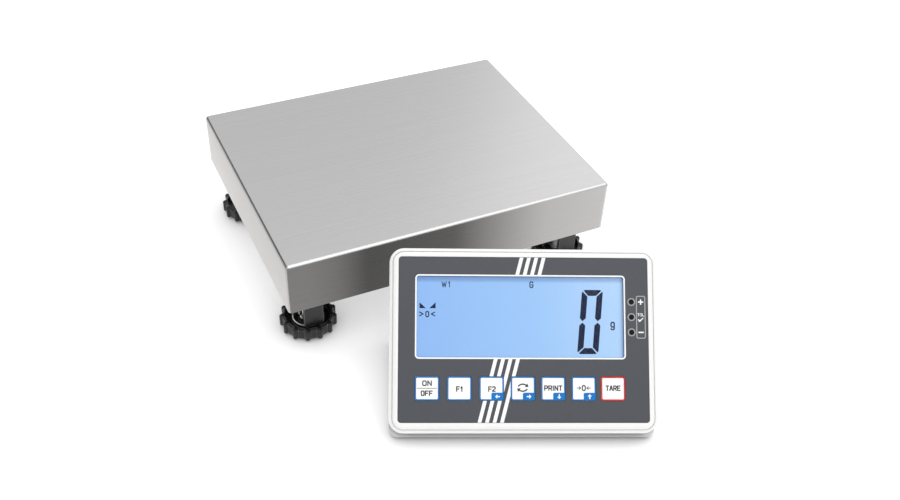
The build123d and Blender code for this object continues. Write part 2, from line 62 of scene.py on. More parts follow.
# %% [markdown]
# ## Where the camera stands
#
# A low, wide object reads best from above and from one side, where its top and two of its sides
# all show. The camera is placed the way a tripod is: what it looks at, how far away it stands, how
# far round and how high, and a slight roll of the head.

# %% Camera
pan_low, pan_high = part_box("pan")
pan_centre = (pan_low + pan_high) / 2
AIM = Vector((pan_centre.x - 20.6 * MM, pan_centre.y - 148.8 * MM, pan_high.z))
DISTANCE = 840.7 * MM
ROUND, ABOVE, ROLL = (math.radians(d) for d in (-27.18, 39.75, 2.97))
LENS = 41.46


def make_camera():
    """A camera described by its aim, distance, two angles and roll."""
    back = Vector((math.sin(ROUND) * math.cos(ABOVE), -math.cos(ROUND) * math.cos(ABOVE), math.sin(ABOVE)))
    level = Vector((math.cos(ROUND), math.sin(ROUND), 0))
    right = level * math.cos(ROLL) + back.cross(level) * math.sin(ROLL)
    turn = Matrix((right, back.cross(right), back)).transposed().to_4x4()
    camera = bpy.data.objects.new("camera", bpy.data.cameras.new("camera"))
    camera.matrix_world = Matrix.Translation(AIM + back * DISTANCE) @ turn
    camera.data.lens = LENS
    bpy.context.scene.collection.objects.link(camera)
    bpy.context.scene.camera = camera
    return camera


camera = make_camera()
print("camera stands at", [round(c, 3) for c in camera.matrix_world.translation])

# %% [markdown]
# ## Light like a studio table
#
# Bare steel shows the room more than itself, so the light matters as much as the metal. One very
# large soft panel hangs overhead, and a weaker one stands behind to the right, where the pan's top
# mirrors it towards its front corner. A pale surround fills in from everywhere else, as a light
# tent does. It is brighter overhead than at the horizon, which makes the pan's top pale.

# %% Lights and surround
def add_node(tree, kind):
    """A new shader node, by the last part of its class name."""
    return tree.nodes.new("ShaderNode" + kind)


def light_panel(name, place, aim, size, watts):
    """A soft rectangular light, turned to face a point."""
    lamp = bpy.data.lights.new(name, "AREA")
    lamp.shape, lamp.size, lamp.size_y, lamp.energy = "RECTANGLE", size[0], size[1], watts
    panel = bpy.data.objects.new(name, lamp)
    panel.location = place
    panel.rotation_euler = (Vector(aim) - Vector(place)).to_track_quat("-Z", "Y").to_euler()
    bpy.context.scene.collection.objects.link(panel)
    return panel


def make_surround():
    """World light that runs from a dim horizon to a bright ceiling."""
    world = bpy.data.worlds.new("light_tent")
    world.use_nodes = True
    bpy.context.scene.world = world
    tree = world.node_tree
    coordinates = add_node(tree, "TexCoord")
    split = add_node(tree, "SeparateXYZ")
    ramp = add_node(tree, "ValToRGB")
    background = tree.nodes["Background"]
    tree.links.new(coordinates.outputs["Generated"], split.inputs[0])
    tree.links.new(split.outputs["Z"], ramp.inputs[0])
    tree.links.new(ramp.outputs[0], background.inputs["Color"])
    ramp.color_ramp.elements[0].position, ramp.color_ramp.elements[0].color = 0.0, (0.66, 0.66, 0.67, 1)
    ramp.color_ramp.elements[1].position, ramp.color_ramp.elements[1].color = 0.8, (1, 1, 1, 1)
    background.inputs["Strength"].default_value = 0.9


make_surround()
light_panel("top_panel", (0.3, -0.3, 1.9), (0, 0, 0.05), (2.4, 2.4), 18)
light_panel("back_panel", (1.9, 1.7, 1.6), (0, 0, 0.05), (1.6, 1.6), 4)
scene = bpy.context.scene
scene.view_settings.view_transform = "Standard"

# %% [markdown]
# ## Finishes made of noise
#
# No real surface has one colour. Each finish here starts from the standard surface shader and
# adds three small variations from noise: a little in colour, a little in gloss, and a fine bump.
# One helper holds that pattern, and each finish below gives it the scale of its own texture.
# Two extras are for edges: a slight rounding, and a paler colour painted along an edge as a
# highlight.

# %% The finish helper
def finish(name, colour, rough, metal=0.0, grain=400, tint=0.06, rough_vary=0.08,
           bump=0.1, bump_depth=0.00005, coat=0.0, detail=3.0, colour_grain=None,
           edge=0.0, shine=0.5, edge_highlight=None):
    """A surface whose colour, gloss and relief all vary with noise of a given grain per metre."""
    grain = grain if isinstance(grain, tuple) else (grain, grain, grain)
    material = bpy.data.materials.new(name)
    material.use_nodes = True
    tree = material.node_tree
    shader = tree.nodes["Principled BSDF"]
    shader.inputs["Metallic"].default_value = metal
    shader.inputs["Coat Weight"].default_value = coat
    place = add_node(tree, "TexCoord")

    def noise(scale):
        stretch = add_node(tree, "Mapping")
        stretch.inputs["Scale"].default_value = scale
        texture = add_node(tree, "TexNoise")
        texture.inputs["Scale"].default_value = 1.0
        texture.inputs["Detail"].default_value = detail
        tree.links.new(place.outputs["Object"], stretch.inputs[0])
        tree.links.new(stretch.outputs[0], texture.inputs[0])
        return texture.outputs["Fac"]

    fine = noise(grain)
    broad = noise(colour_grain or tuple(g / 12 for g in grain))
    shade = add_node(tree, "ValToRGB")
    shade.color_ramp.elements[0].position, shade.color_ramp.elements[1].position = 0.3, 0.7
    shade.color_ramp.elements[0].color = [c * (1 - tint) for c in colour] + [1]
    shade.color_ramp.elements[1].color = [min(c * (1 + tint), 1) for c in colour] + [1]
    tree.links.new(broad, shade.inputs[0])
    tree.links.new(shade.outputs[0], shader.inputs["Base Color"])
    gloss = add_node(tree, "MapRange")
    gloss.inputs["From Min"].default_value, gloss.inputs["From Max"].default_value = 0.3, 0.7
    gloss.inputs["To Min"].default_value = max(rough - rough_vary, 0.02)
    gloss.inputs["To Max"].default_value = min(rough + rough_vary, 1.0)
    tree.links.new(fine, gloss.inputs["Value"])
    tree.links.new(gloss.outputs[0], shader.inputs["Roughness"])
    relief = add_node(tree, "Bump")
    relief.inputs["Strength"].default_value = bump
    relief.inputs["Distance"].default_value = bump_depth
    tree.links.new(fine, relief.inputs["Height"])
    tree.links.new(relief.outputs[0], shader.inputs["Normal"])
    if edge:
        soften = add_node(tree, "Bevel")
        soften.samples = 4
        soften.inputs["Radius"].default_value = edge
        tree.links.new(soften.outputs[0], relief.inputs["Normal"])
    # Painted highlight: a paler colour along the edges.
    if edge_highlight:
        paint_edge_highlights(tree, shade.outputs[0], edge_highlight)
    shader.inputs["Specular IOR Level"].default_value = shine
    return material


def paint_edge_highlights(tree, colour, edge_highlight):
    """Paint a highlight along edges: blend a paler colour in where a rounded normal leaves the true one."""
    width, pale = edge_highlight
    round_off, geometry = add_node(tree, "Bevel"), add_node(tree, "NewGeometry")
    agree, amount = add_node(tree, "VectorMath"), add_node(tree, "MapRange")
    blend = add_node(tree, "Mix")
    round_off.samples, round_off.inputs["Radius"].default_value = 6, width
    agree.operation, blend.data_type = "DOT_PRODUCT", "RGBA"
    amount.inputs["From Min"].default_value, amount.inputs["From Max"].default_value = 0.99, 0.86
    socket(blend.inputs, "B_Color").default_value = (*pale, 1)
    tree.links.new(round_off.outputs[0], agree.inputs[0])
    tree.links.new(geometry.outputs["Normal"], agree.inputs[1])
    tree.links.new(agree.outputs["Value"], amount.inputs["Value"])
    tree.links.new(amount.outputs[0], socket(blend.inputs, "Factor_Float"))
    tree.links.new(colour, socket(blend.inputs, "A_Color"))
    tree.links.new(socket(blend.outputs, "Result_Color"),
                   tree.nodes["Principled BSDF"].inputs["Base Color"])


def socket(sockets, identifier):
    """The one of several sockets of the same name that serves a colour or a vector."""
    return next(s for s in sockets if s.identifier == identifier)


def multiply(tree, first, second):
    """One colour darkened by another."""
    mix = add_node(tree, "Mix")
    mix.data_type, mix.blend_type = "RGBA", "MULTIPLY"
    socket(mix.inputs, "Factor_Float").default_value = 1.0
    tree.links.new(first, socket(mix.inputs, "A_Color"))
    tree.links.new(second, socket(mix.inputs, "B_Color"))
    return socket(mix.outputs, "Result_Color")


def paint_gap_shade(material, reach, darkest):
    """Paint shade into a surface's colour where other surfaces come close, darkest in a narrow gap."""
    tree = material.node_tree
    shader = tree.nodes["Principled BSDF"]
    colour = shader.inputs["Base Color"].links[0].from_socket
    near, span = add_node(tree, "AmbientOcclusion"), add_node(tree, "MapRange")
    near.inputs["Distance"].default_value = reach
    span.inputs["From Min"].default_value, span.inputs["From Max"].default_value = 0.30, 0.90
    span.inputs["To Min"].default_value = darkest
    tree.links.new(near.outputs["AO"], span.inputs["Value"])
    tree.links.new(multiply(tree, colour, span.outputs[0]), shader.inputs["Base Color"])
    return material


# %% [markdown]
# ## The finishes themselves
#
# The pan is steel sheet brushed in one direction, so its noise is stretched thousands of times
# finer across the lines than along them. The tubes are powder coated, the knobs are moulded in
# black, the screws are zinc plated and the housing is a pale, slightly grained plastic with shade
# painted into its colour in its narrow gaps, where other surfaces come close. The numbers are
# colour, roughness, metal and then the noise.

# %% The finishes
def brushed_sheet():
    """Sheet brushed before it was folded, so the lines run across the top and down both sides."""
    material = finish("brushed_stainless", (0.59, 0.585, 0.585), 0.31, 1.0, (7, 4200, 4200), 0.02, 0.045,
                      0.06,
                      0.00003, colour_grain=(3, 1100, 1100), detail=2.0)
    tree = material.node_tree
    place = next(n for n in tree.nodes if n.type == "TEX_COORD")
    geometry = add_node(tree, "NewGeometry")
    facing = add_node(tree, "SeparateXYZ")
    sideways = add_node(tree, "Math")
    far = add_node(tree, "Math")
    split = add_node(tree, "SeparateXYZ")
    turned = add_node(tree, "CombineXYZ")
    choose = add_node(tree, "Mix")
    sideways.operation, far.operation, far.inputs[1].default_value = "ABSOLUTE", "GREATER_THAN", 0.7
    choose.data_type = "VECTOR"
    tree.links.new(geometry.outputs["True Normal"], facing.inputs[0])
    tree.links.new(facing.outputs["X"], sideways.inputs[0])
    tree.links.new(sideways.outputs[0], far.inputs[0])
    tree.links.new(place.outputs["Object"], split.inputs[0])
    tree.links.new(split.outputs["Z"], turned.inputs["X"])
    tree.links.new(split.outputs["Y"], turned.inputs["Y"])
    tree.links.new(far.outputs[0], socket(choose.inputs, "Factor_Float"))
    tree.links.new(place.outputs["Object"], socket(choose.inputs, "A_Vector"))
    tree.links.new(turned.outputs[0], socket(choose.inputs, "B_Vector"))
    for stretch in [n for n in tree.nodes if n.type == "MAPPING"]:
        tree.links.new(socket(choose.outputs, "Result_Vector"), stretch.inputs[0])
    return material


steel_sheet = brushed_sheet()
# The black paint carries a painted highlight along its edges.
black_paint = finish("black_powder_coat", (0.018, 0.018, 0.02), 0.42, 0.0, 1500, 0.1, 0.08, 0.3, 0.00008,
                     edge=0.0004, edge_highlight=(0.0008, (0.26, 0.26, 0.26)))
black_moulding = finish("black_moulding", (0.010, 0.010, 0.011), 0.27, 0.0, 900, 0.12, 0.07, 0.12, 0.00004,
                        edge=0.0004, shine=0.32)
rubber = finish("rubber", (0.02, 0.02, 0.02), 0.75, 0.0, 1200, 0.15, 0.1, 0.3, 0.0001)
zinc = finish("bright_zinc", (0.72, 0.73, 0.75), 0.22, 1.0, 700, 0.06, 0.07, 0.1, 0.00003, edge=0.0002)
aluminium = finish("milled_aluminium", (0.70, 0.71, 0.73), 0.32, 1.0, (60, 1800, 1800), 0.04, 0.06, 0.2,
                   0.00003, edge=0.0004)
white_housing = finish("white_housing", (0.87, 0.87, 0.86), 0.45, 0.0, 1600, 0.012, 0.05, 0.12, 0.00004,
                       edge=0.0006)
# Painted shade in the housing's gaps and where it comes close to the table.
paint_gap_shade(white_housing, 0.012, 0.12)
grey_film = finish("grey_film", (0.060, 0.065, 0.077), 0.45, 0.0, 2500, 0.02, 0.04, 0.05, 0.00002)
# The knob moulding carries a painted highlight along its grips and rim.
knob_moulding = finish("knob_moulding", (0.013, 0.013, 0.014), 0.25, 0.0, 900, 0.12, 0.07, 0.12, 0.00004,
                       edge=0.0004, shine=0.35,
                       edge_highlight=(0.0010, (0.22, 0.22, 0.22)))
grey_moulding = finish("grey_moulding", (0.16, 0.165, 0.17), 0.5, 0.0, 1200, 0.06, 0.07, 0.2, 0.00005,
                       edge=0.0005)
solder_mask = finish("solder_mask", (0.02, 0.14, 0.05), 0.35, 0.0, 900, 0.15, 0.1, 0.2, 0.00005, coat=0.3)
lamp_lens = finish("lamp_lens", (0.006, 0.006, 0.007), 0.25, 0.0, 700, 0.2, 0.04, 0.03, 0.00002, shine=0.12)
cell_sleeve = finish("cell_sleeve", (0.03, 0.12, 0.05), 0.3, 0.0, 500, 0.1, 0.08, 0.1, 0.00005, coat=0.4)
key_white = finish("key_white", (0.94, 0.94, 0.93), 0.4, 0.0, 1600, 0.01, 0.05, 0.08, 0.00003, edge=0.0003)
diffuser = finish("backlight_diffuser", (0.82, 0.86, 0.92), 0.5, 0.0, 1200, 0.04, 0.06, 0.1, 0.00003)
level_fluid = finish("level_fluid", (0.50, 0.72, 0.08), 0.08, 0.0, 200, 0.08, 0.03, 0.02, 0.00002, coat=1.0)
print(len(bpy.data.materials), "materials so far")

# %% [markdown]
# ## Dress the frame's own parts
#
# Each part of the frame says which kind of material it is made of. Looking the finish up by that
# kind dresses screws, tubes, boards and rubber feet all at once, hidden ones too, so the inside
# is right when the scale is taken apart.

# %% Dress the frame's own parts
def dress(node, material):
    """Give a frame part one material."""
    node.data.materials.clear()
    node.data.materials.append(material)


by_slot = {
    "brushed_stainless": steel_sheet, "black_steel": black_paint, "black_plastic": black_moulding,
    "knob_plastic": knob_moulding, "zinc_steel": zinc, "machined_aluminium": aluminium,
    "grey_plastic": grey_moulding, "black_rubber": rubber, "white_housing": white_housing,
    "foil_grey": grey_film, "dark_lens": lamp_lens, "board_green": solder_mask,
    "battery_sleeve": cell_sleeve, "key_white": key_white, "backlight": diffuser, "vial_fluid": level_fluid,
}
slot_of = {part["node"]: part["material_slot"] for part in frame["record"]["subparts"]}
for name, node in nodes.items():
    if slot_of[name] in by_slot:
        dress(node, by_slot[slot_of[name]])
print("dressed", len(nodes), "frame parts")

# %% [markdown]
# ## Small tools for building shapes
#
# Most moulded and turned pieces can be thought of as a stack of outlines: draw the outline at one
# height, draw it again a little larger or smaller at the next height, and join the two with a
# band of faces. That one idea makes the housing frame, the hand knobs, the nuts and the threads
# below, and it lets every edge be rounded exactly as much as the real one.

# %% Outlines, bands and pieces
def rounded(half_width, half_height, radius, middle=(0.0, 0.0), steps=10):
    """Points of a rectangle with round corners, counter-clockwise, always the same number."""
    points = []
    for corner, (sx, sy) in enumerate(((1, 1), (-1, 1), (-1, -1), (1, -1))):
        for step in range(steps + 1):
            angle = math.radians(90 * corner + 90 * step / steps)
            x = sx * (half_width - radius) + radius * math.cos(angle)
            y = sy * (half_height - radius) + radius * math.sin(angle)
            points.append((middle[0] + x, middle[1] + y))
    return points


def circle(radius, steps=64):
    """Points of a circle, as radius and angle give them."""
    return [(radius * math.cos(math.tau * s / steps),
             radius * math.sin(math.tau * s / steps)) for s in range(steps)]


def add_bands(shape, levels, closed_ends=(False, False)):
    """Join outlines, each given with its height, by bands of faces; the ends may be closed."""
    rings = [[shape.verts.new((x * MM, y * MM, height * MM)) for x, y in outline] for outline,
             height in levels]
    for lower, upper in zip(rings, rings[1:]):
        for i in range(len(lower)):
            j = (i + 1) % len(lower)
            shape.faces.new((lower[i], lower[j], upper[j], upper[i]))
    if closed_ends[0]:
        shape.faces.new(list(reversed(rings[0])))
    if closed_ends[1]:
        shape.faces.new(rings[-1])


def piece(name, shape, material, body, place=None, smooth=35, replaced=()):
    """Turn a mesh being edited into an object that rides on a body of the frame."""
    mesh = bpy.data.meshes.new(name)
    bmesh.ops.recalc_face_normals(shape, faces=shape.faces)
    shape.to_mesh(mesh)
    shape.free()
    if place is not None:
        mesh.transform(place)
    mesh.shade_smooth()
    mesh.set_sharp_from_angle(angle=math.radians(smooth))
    mesh.materials.append(material)
    made = bpy.data.objects.new(name, mesh)
    bpy.context.scene.collection.objects.link(made)
    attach(made, body)
    if replaced:
        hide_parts(*replaced)
    return made


# %% [markdown]
# ## The terminal's own flat drawing board
#
# Everything on the terminal's face is easiest to draw flat: X to the right, Y up the slope and Z
# straight out of the keypad. The direction out of the face is opposite to the way a key travels,
# so it is read from a key's joint. The other two directions follow from it, and the film itself
# gives the middle.

# %% The face frame
travel = next(j for j in frame["record"]["behaviour"]["joints"] if j["name"] == "press_tare")["axis"]
outward = -Vector(travel).normalized()
rightward = Vector((0, 0, 1)).cross(outward).normalized()
upward = outward.cross(rightward)
film_points = [v.co for v in nodes["keypad_foil"].data.vertices]
spans = [[p.dot(way) for p in film_points] for way in (rightward, upward, outward)]
middle = [(max(s) + min(s)) / 2 for s in spans[:2]] + [max(spans[2])]
face_origin = rightward * middle[0] + upward * middle[1] + outward * middle[2]
FACE = Matrix.Translation(face_origin) @ Matrix((rightward, upward, outward)).transposed().to_4x4()


def on_face(node):
    """Where a frame part lies on the drawing board, in millimetres: low and high corners."""
    flat = [FACE.inverted() @ v.co for v in nodes[node].data.vertices]
    low = Vector([min(p[i] for p in flat) for i in range(3)]) / MM
    high = Vector([max(p[i] for p in flat) for i in range(3)]) / MM
    return low, high


film_low, film_high = on_face("keypad_foil")
window_low, window_high = on_face("display_window")
housing_low, housing_high = on_face("front_shell")
print("film in mm:", [round(c, 2) for c in film_high - film_low], "window:",
      [round(c, 1) for c in window_low])

# %% [markdown]
# ## Printed ink
#
# Legends on a keypad are screen printed: a skin of ink a few hundredths of a millimetre thick.
# Each legend here is a flat filled curve, or a line of text, lifted just off the surface that it
# is printed on and given that small thickness. Printed curves can be nested, so a ring is simply
# an outline inside another.

# %% The printing helpers
def add_print(shape, outlines, height, thick=0.03):
    """Fill flat outlines, holes included, and add them to a shape at a height above the face."""
    curve = bpy.data.curves.new("print", "CURVE")
    curve.dimensions, curve.fill_mode, curve.extrude = "2D", "BOTH", thick / 2 * MM
    for outline in outlines:
        line = curve.splines.new("POLY")
        line.points.add(len(outline) - 1)
        for point, (x, y) in zip(line.points, outline):
            point.co = (x * MM, y * MM, 0, 1)
        line.use_cyclic_u = True
    add_curve(shape, curve, Matrix.Translation((0, 0, (height + thick / 2) * MM)))


def add_curve(shape, curve, place):
    """Add a curve's solid form to a shape, moved to its place."""
    holder = bpy.data.objects.new("holder", curve)
    mesh = bpy.data.meshes.new_from_object(holder)
    mesh.transform(place)
    shape.from_mesh(mesh)
    bpy.data.objects.remove(holder)
    bpy.data.meshes.remove(mesh)


def add_strokes(shape, strokes, height, thick):
    """Add lines of ink of an even width: one thin bar for each straight run, squared at its ends."""
    for stroke in strokes:
        for (x0, y0), (x1, y1) in zip(stroke, stroke[1:]):
            along = Vector((x1 - x0, y1 - y0)).normalized() * thick / 2
            side = Vector((-along.y, along.x))
            start, end = Vector((x0, y0)) - along * 0.8, Vector((x1, y1)) + along * 0.8
            bar = [tuple(p) for p in (start - side, end - side, end + side, start + side)]
            add_bands(shape, [(bar, height), (bar, height + 0.03)], (True, True))


LETTERS = {
    "A": [[(0, 0), (.42, 1), (.58, 1), (1, 0)], [(.18, .34), (.82, .34)]],
    "E": [[(1, 1), (0, 1), (0, 0), (1, 0)], [(0, .52), (.85, .52)]],
    "F": [[(1, 1), (0, 1), (0, 0)], [(0, .5), (.85, .5)]],
    "G": [[(1, .85), (.8, 1), (.2, 1), (0, .8), (0, .2), (.2, 0), (.8, 0), (1, .2), (1, .48), (.55, .48)]],
    "I": [[(.5, 0), (.5, 1)]],
    "L": [[(0, 1), (0, 0), (1, 0)]],
    "N": [[(0, 0), (0, 1), (1, 0), (1, 1)]],
    "O": [[(.2, 0), (0, .2), (0, .8), (.2, 1), (.8, 1), (1, .8), (1, .2), (.8, 0), (.2, 0)]],
    "P": [[(0, 0), (0, 1), (.8, 1), (1, .85), (1, .6), (.8, .45), (0, .45)]],
    "R": [[(0, 0), (0, 1), (.8, 1), (1, .85), (1, .6), (.8, .45), (0, .45)], [(.55, .45), (1, 0)]],
    "T": [[(0, 1), (1, 1)], [(.5, 1), (.5, 0)]],
    "W": [[(0, 1), (.25, 0), (.5, .85), (.75, 0), (1, 1)]],
    "0": [[(.3, 0), (0, .22), (0, .78), (.3, 1), (.7, 1), (1, .78), (1, .22), (.7, 0), (.3, 0)]],
    "1": [[(.15, .72), (.65, 1), (.65, 0)]],
    "2": [[(0, .85), (.2, 1), (.8, 1), (1, .85), (1, .6), (0, .12), (0, 0), (1, 0)]],
    "g": [[(1, .45), (.8, .36), (.2, .36), (0, .5), (0, .86), (.2, 1), (.8, 1), (1, .86), (1, .14), (.8, 0),
           (.2, 0), (0, .1)]],
    ">": [[(0, 1), (1, .5), (0, 0)]],
    "<": [[(1, 1), (0, .5), (1, 0)]],
}


def add_text(shape, words, centre, size, height, thick=0.7, gap=0.5):
    """Write plain capitals inside a width and height about a centre."""
    narrow = {"I": 0.2, "1": 0.75, "W": 1.3}
    widths = [narrow.get(letter, 1.0) for letter in words]
    unit = size[0] / (sum(widths) + gap * (len(words) - 1))
    left, low = centre[0] - size[0] / 2, centre[1] - size[1] / 2
    for letter, width in zip(words, widths):
        strokes = [[(left + x * unit * width, low + y * size[1]) for x,
                    y in stroke] for stroke in LETTERS[letter]]
        add_strokes(shape, strokes, height, thick)
        left += unit * (width + gap)


def oblong(x, y, width, height):
    """A plain rectangle about a centre."""
    return [(x - width / 2, y - height / 2), (x + width / 2, y - height / 2),
            (x + width / 2, y + height / 2), (x - width / 2, y + height / 2)]


def moved(points, dx, dy):
    """The same points, shifted across and up."""
    return [(x + dx, y + dy) for x, y in points]


# %% [markdown]
# ## Inks
#
# Screen ink dries to a thin, even, nearly matt skin. Each colour is one finish with very little
# noise, and the display's dark marks get one of their own.

# %% Inks
def ink(name, colour, rough=0.5, shine=0.3):
    """A dry, even ink with almost no grain."""
    return finish(name, colour, rough, 0.0, 3000, 0.03, 0.05, 0.05, 0.00001, shine=shine)


white_ink = ink("white_ink", (0.93, 0.93, 0.93))
grey_ink = ink("grey_ink", (0.40, 0.40, 0.40))
black_ink = ink("black_ink", (0.035, 0.035, 0.04))
blue_ink = ink("blue_ink", (0.012, 0.18, 0.54), shine=0.15)
red_ink = ink("red_ink", (0.83, 0.012, 0.012))
display_ink = ink("display_ink", (0.010, 0.018, 0.062), 0.6, 0.1)

# %% [markdown]
# ## The front frame of the housing
#
# The front half of the housing is one white moulding. From the film outward it has a small raised
# rim, a broad bevel that slopes away, and a straight skirt down to the groove between the two
# halves. It is drawn as a stack of rounded rectangles that starts at the film's edge and ends
# inside the skirt, with extra outlines close together where an edge is soft.

# %% Front frame
housing_middle = (0.0, (housing_low.y + housing_high.y) / 2)
HOUSING_HALF = ((housing_high.x - housing_low.x) / 2, (housing_high.y - housing_low.y) / 2)
RIM_TOP, SKIRT_END = housing_high.z, -13.0
CORNER = 11.5


def housing_outline(shrink):
    """The housing's outline seen from the front, drawn in by an amount."""
    return rounded(HOUSING_HALF[0] - shrink, HOUSING_HALF[1] - shrink, max(CORNER - shrink, 1),
                   housing_middle)


def film_outline(grow):
    """The film's outline, grown by an amount."""
    half = (film_high - film_low) / 2
    return rounded(half.x + grow, half.y + grow, 2.6 + grow)


def make_front_frame():
    shape = bmesh.new()
    levels = [(film_outline(0.08), -0.8), (film_outline(0.08), RIM_TOP - 0.35)]
    levels += [(film_outline(0.14), RIM_TOP - 0.14), (film_outline(0.32), RIM_TOP - 0.02),
               (film_outline(0.5), RIM_TOP)]
    section = [(5.45, RIM_TOP), (5.1, RIM_TOP - 0.04), (4.75, RIM_TOP - 0.2)]
    section += [(1.3, RIM_TOP - 2.55), (0.75, RIM_TOP - 3.0), (0.35, RIM_TOP - 3.5), (0.1, RIM_TOP - 4.1),
                (0, RIM_TOP - 4.8)]
    section += [(0, SKIRT_END + 0.7), (0.1, SKIRT_END + 0.25), (0.5, SKIRT_END)]
    levels += [(housing_outline(shrink), height) for shrink, height in section]
    levels += [(housing_outline(2.5), SKIRT_END), (housing_outline(2.5), -3.0)]
    add_bands(shape, levels)
    window_half = ((window_high.x - window_low.x) / 2 - 1.1, (window_high.y - window_low.y) / 2 - 1.1)
    window_middle = ((window_high.x + window_low.x) / 2, (window_high.y + window_low.y) / 2)
    openings = [rounded(*window_half, 2.0, window_middle)]
    for name in key_names:
        low, high = on_face(name)
        openings.append(moved(rounded((high.x - low.x) / 2 + 0.3, (high.y - low.y) / 2 + 0.3, 1.9),
                              (high.x + low.x) / 2, (high.y + low.y) / 2))
    add_print(shape, [housing_outline(2.4)] + openings, -3.0, 2.2)
    return piece("front_frame", shape, white_housing, "terminal", FACE,
                 replaced=["front_shell"])


NOT_KEYS = ("key_board", "key_domes")
key_names = sorted(name for name in nodes if name.startswith("key_") and name not in NOT_KEYS)
front_frame = make_front_frame()
print("front frame:", len(front_frame.data.polygons), "faces;", len(key_names), "keys")

# %% [markdown]
# ## The printed film
#
# The grey film carries the fixed prints: a slanted band of plain stripes that passes behind the
# display, the white line round the display, and the legend for the three lamps beside it. Each
# colour of ink is one piece, as each would be one pass of the printing screen. The stripes stop
# round the keys, because the film is open there and a pressed key sinks below the ink.

# %% Stripes, display outline and lamp legend
STRIPES, STRIPE_WIDTH, STRIPE_LEAN = 4, 2.9, 33.4 / 128.6
STRIPE_LEFT = -19.7
KEY_GAP = 0.3


def stripe(left, low, high):
    """One leaning stripe between two heights, measured from the middle of the face."""
    return [(left + low * STRIPE_LEAN, low), (left + STRIPE_WIDTH + low * STRIPE_LEAN, low),
            (left + STRIPE_WIDTH + high * STRIPE_LEAN, high), (left + high * STRIPE_LEAN, high)]


def cut_off(outline, axis, limit, side):
    """Cut a flat outline along a line; side 1 keeps what lies above the limit, -1 what lies below."""
    kept = []
    for a, b in zip(outline, outline[1:] + outline[:1]):
        a_stays, b_stays = (a[axis] - limit) * side >= 0, (b[axis] - limit) * side >= 0
        if a_stays:
            kept.append(a)
        if a_stays != b_stays:
            part = (limit - a[axis]) / (b[axis] - a[axis])
            kept.append((a[0] + part * (b[0] - a[0]), a[1] + part * (b[1] - a[1])))
    return kept


def around_keys(outline):
    """The parts of an outline below, above and between the keys, so that no ink lies over a key."""
    boxes = sorted((on_face(name) for name in key_names), key=lambda box: box[0].x)
    low, high = min(b[0].y for b in boxes) - KEY_GAP, max(b[1].y for b in boxes) + KEY_GAP
    row = cut_off(cut_off(outline, 1, low, 1), 1, high, -1)
    parts = [cut_off(outline, 1, low, -1), cut_off(outline, 1, high, 1)]
    for left_key, right_key in zip(boxes, boxes[1:]):
        parts.append(cut_off(cut_off(row, 0, left_key[1].x + KEY_GAP, 1), 0, right_key[0].x - KEY_GAP, -1))
    return [part for part in parts if len(part) > 2]


def window_ring(outside, inside):
    """Two nested outlines that follow the display window's edge."""
    half = (window_high - window_low) / 2
    centre = (window_high + window_low) / 2
    at = (centre.x, centre.y)
    return [rounded(half.x + grow, half.y + grow, 3.0 + grow, at) for grow in (outside, inside)]


def make_white_print():
    shape = bmesh.new()
    for number in range(STRIPES):
        left = STRIPE_LEFT + 2 * STRIPE_WIDTH * number
        for part in around_keys(stripe(left, film_low.y + 0.1, window_low.y)):
            add_print(shape, [part], 0.0)
        add_print(shape, [stripe(left, window_high.y, film_high.y - 0.1)], 0.0)
    add_print(shape, window_ring(0.05, -1.1), 0.0, 0.05)
    plus_y, minus_y = lamp_rows[2], lamp_rows[0]
    for outline in (oblong(LEGEND_X, plus_y, 4.2, 1.0), oblong(LEGEND_X, plus_y + 1.3, 1.0, 1.6),
                    oblong(LEGEND_X, plus_y - 1.3, 1.0, 1.6), oblong(LEGEND_X, minus_y, 4.2, 1.0)):
        add_print(shape, [outline], 0.0)
    tick = [(-2.1, 0.1), (-1.5, 0.6), (-0.8, -0.6), (1.9, 1.7), (2.2, 1.1), (-0.6, -1.7), (-1.2, -1.7)]
    add_print(shape, [moved(tick, LEGEND_X - 0.2, lamp_rows[1] - 2.0)], 0.0)
    add_text(shape, "TOL", (LEGEND_X, lamp_rows[1] + 1.9), (5.0, 2.0), 0.0, 0.42)
    return piece("white_print", shape, white_ink, "terminal", FACE)


def make_grey_print():
    shape = bmesh.new()
    box_middle = (LEGEND_X, (lamp_rows[0] + lamp_rows[2]) / 2)
    frame_lines = [rounded(3.75 - inset, 16.8 - inset, 1.6 - inset, box_middle) for inset in (0, 0.75)]
    add_print(shape, frame_lines, 0.0)
    for y in lamp_rows:
        rings = [moved(circle(radius), lamp_x, y) for radius in (3.05, 2.35)]
        add_print(shape, rings, 0.0)
    return piece("grey_print", shape, grey_ink, "terminal", FACE)


lamps_low, lamps_high = on_face("status_lenses")
lamp_x = (lamps_low.x + lamps_high.x) / 2
lamp_mid, lamp_pitch = (lamps_low.y + lamps_high.y) / 2, (lamps_high.y - lamps_low.y) / 2 - 2.7
lamp_rows = [lamp_mid - lamp_pitch, lamp_mid, lamp_mid + lamp_pitch]
LEGEND_X = lamp_x + 7.45
white_print = make_white_print()
grey_print = make_grey_print()
print("lamps at", round(lamp_x, 1), [round(y, 1) for y in lamp_rows])

# %% [markdown]
# ## The keys
#
# The seven keys are white tiles with a coloured border, and the legends are printed on them. Each
# legend travels with its own key, so it rides on that key's body. Four keys have a second, small
# blue tag in the corner with an arrow. All the words are plain names of functions.

# %% Key legends
def arrow(x, y, length, turn, thick=0.95):
    """A short arrow about a centre, turned by an angle."""
    half, head = length / 2, length * 0.46
    shape = [(-half, -thick / 2), (half - head, -thick / 2), (half - head, -head), (half, 0),
             (half - head, head), (half - head, thick / 2), (-half, thick / 2)]
    c, s = math.cos(math.radians(turn)), math.sin(math.radians(turn))
    return [(x + px * c - py * s, y + px * s + py * c) for px, py in shape]


